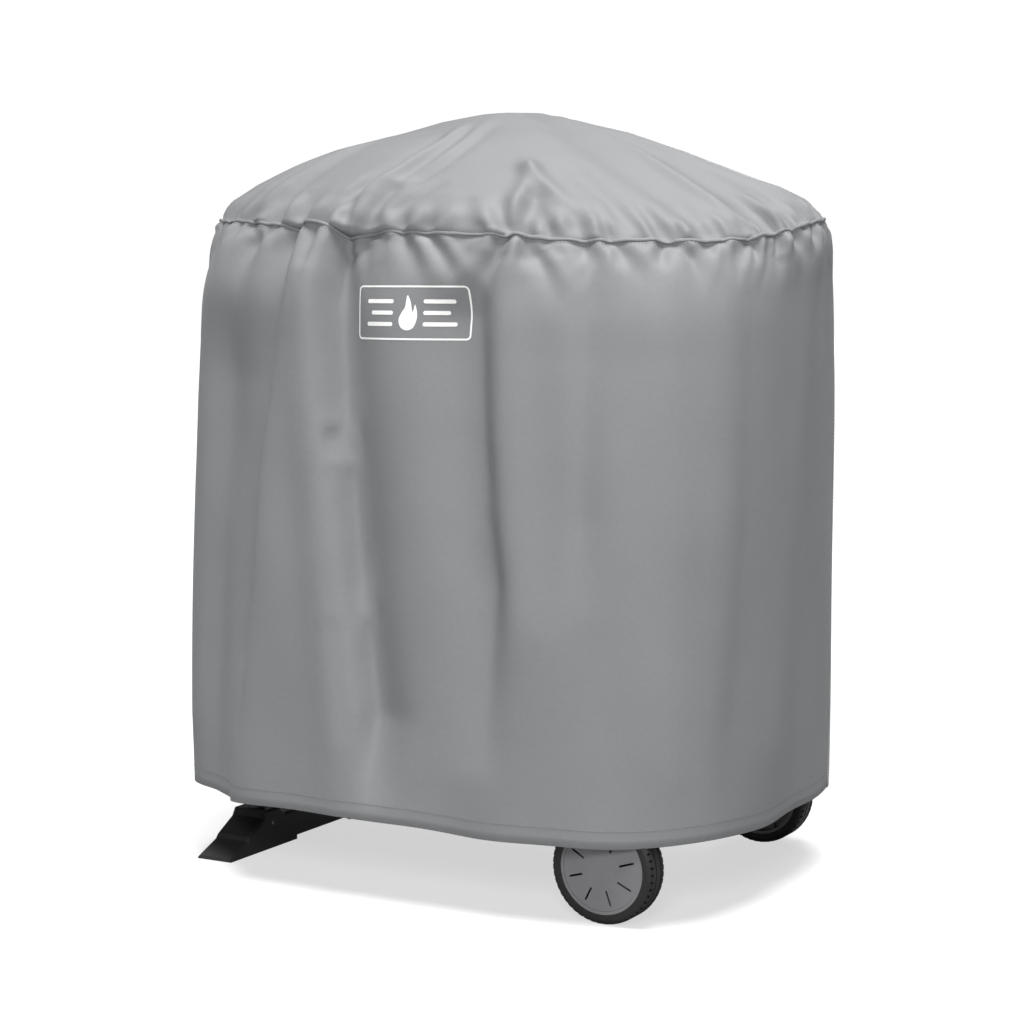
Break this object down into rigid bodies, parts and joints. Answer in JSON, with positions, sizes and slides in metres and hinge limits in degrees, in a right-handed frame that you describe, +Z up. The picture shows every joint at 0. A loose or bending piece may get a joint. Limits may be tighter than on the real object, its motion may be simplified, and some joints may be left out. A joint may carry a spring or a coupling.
{
  "type": "grill cover",
  "caption": "Fitted cloth cover over a small gas grill on a two-wheeled cart; it lifts off, the wheels roll and the knob turns.",
  "frame": {"origin": "on the floor, under the middle of the cover", "axes": "+Z up, -Y towards the front of the cover, +X towards the wheels"},
  "size_m": [0.8972, 0.628, 1.026],
  "materials": {
    "cover_cloth": "woven polyester, satin",
    "binding_tape": "woven tape",
    "emblem_ink": "printed ink",
    "tyre_rubber": "matte",
    "wheel_plastic": "matte",
    "bush_plastic": "matte",
    "foot_plastic": "moulded",
    "frame_paint": "satin powder coat",
    "zinc_steel": "zinc plated",
    "enamel": "gloss enamel",
    "grate_iron": "seasoned",
    "handle_plastic": "moulded",
    "burner_steel": "plain",
    "valve_brass": "plain"
  },
  "bodies": {
    "cart": {"axle": "zinc_steel", "axle_push_caps": "zinc_steel", "axle_spacers": "bush_plastic", "back_low_rail": "frame_paint", "back_top_rail": "frame_paint", "burner_saddles": "zinc_steel", "burner_tube": "burner_steel", "control_box": "frame_paint", "cook_box": "enamel", "cook_box_hinge_leaves": "zinc_steel", "cooking_grate": "grate_iron", "drip_tray": "zinc_steel", "foot_bolts": "zinc_steel", "frame_bolts": "zinc_steel", "front_low_rail": "frame_paint", "front_top_rail": "frame_paint", "gas_feed_pipe": "burner_steel", "grate_rests": "zinc_steel", "hinge_pins": "zinc_steel", "left_cook_box_rest": "frame_paint", "left_foot_bar": "foot_plastic", "left_leg_frame": "frame_paint", "left_shelf_gussets": "frame_paint", "left_side_shelf": "frame_paint", "leg_end_plugs": "foot_plastic", "lid": "enamel", "lid_handle": "handle_plastic", "lid_handle_posts": "zinc_steel", "lid_hinge_leaves": "zinc_steel", "right_cook_box_rest": "frame_paint", "right_leg_frame": "frame_paint", "right_shelf_gussets": "frame_paint", "right_side_shelf": "frame_paint", "shelf": "frame_paint", "valve_body": "valve_brass"},
    "cover": {"front_wall_panel": "cover_cloth", "back_wall_panel": "cover_cloth", "crown_panel": "cover_cloth", "crown_seam_welt": "cover_cloth", "left_back_seam_binding": "binding_tape", "right_back_seam_binding": "binding_tape", "front_emblem": "emblem_ink"},
    "front_wheel": {"front_tyre": "tyre_rubber", "front_rim": "wheel_plastic", "front_hub_cap": "wheel_plastic", "front_wheel_bush": "bush_plastic"},
    "rear_wheel": {"rear_tyre": "tyre_rubber", "rear_rim": "wheel_plastic", "rear_hub_cap": "wheel_plastic", "rear_wheel_bush": "bush_plastic"},
    "burner_knob": {"control_knob": "handle_plastic", "knob_spindle": "zinc_steel"}
  },
  "joints": [
    {"name": "cover_lift_off", "type": "slide", "parent": "cart", "child": "cover", "axis": [0, 0, 1], "range_m": [0, 0.93]},
    {"name": "front_wheel_spin", "type": "hinge", "parent": "cart", "child": "front_wheel", "pos_m": [0.28, -0.248, 0.07], "axis": [0, 1, 0], "continuous": true},
    {"name": "rear_wheel_spin", "type": "hinge", "parent": "cart", "child": "rear_wheel", "pos_m": [0.28, 0.248, 0.07], "axis": [0, 1, 0], "continuous": true},
    {"name": "burner_knob_turn", "type": "hinge", "parent": "cart", "child": "burner_knob", "pos_m": [0.185, -0.212, 0.745], "axis": [0, 1, 0], "range_deg": [0, 90]}
  ]
}
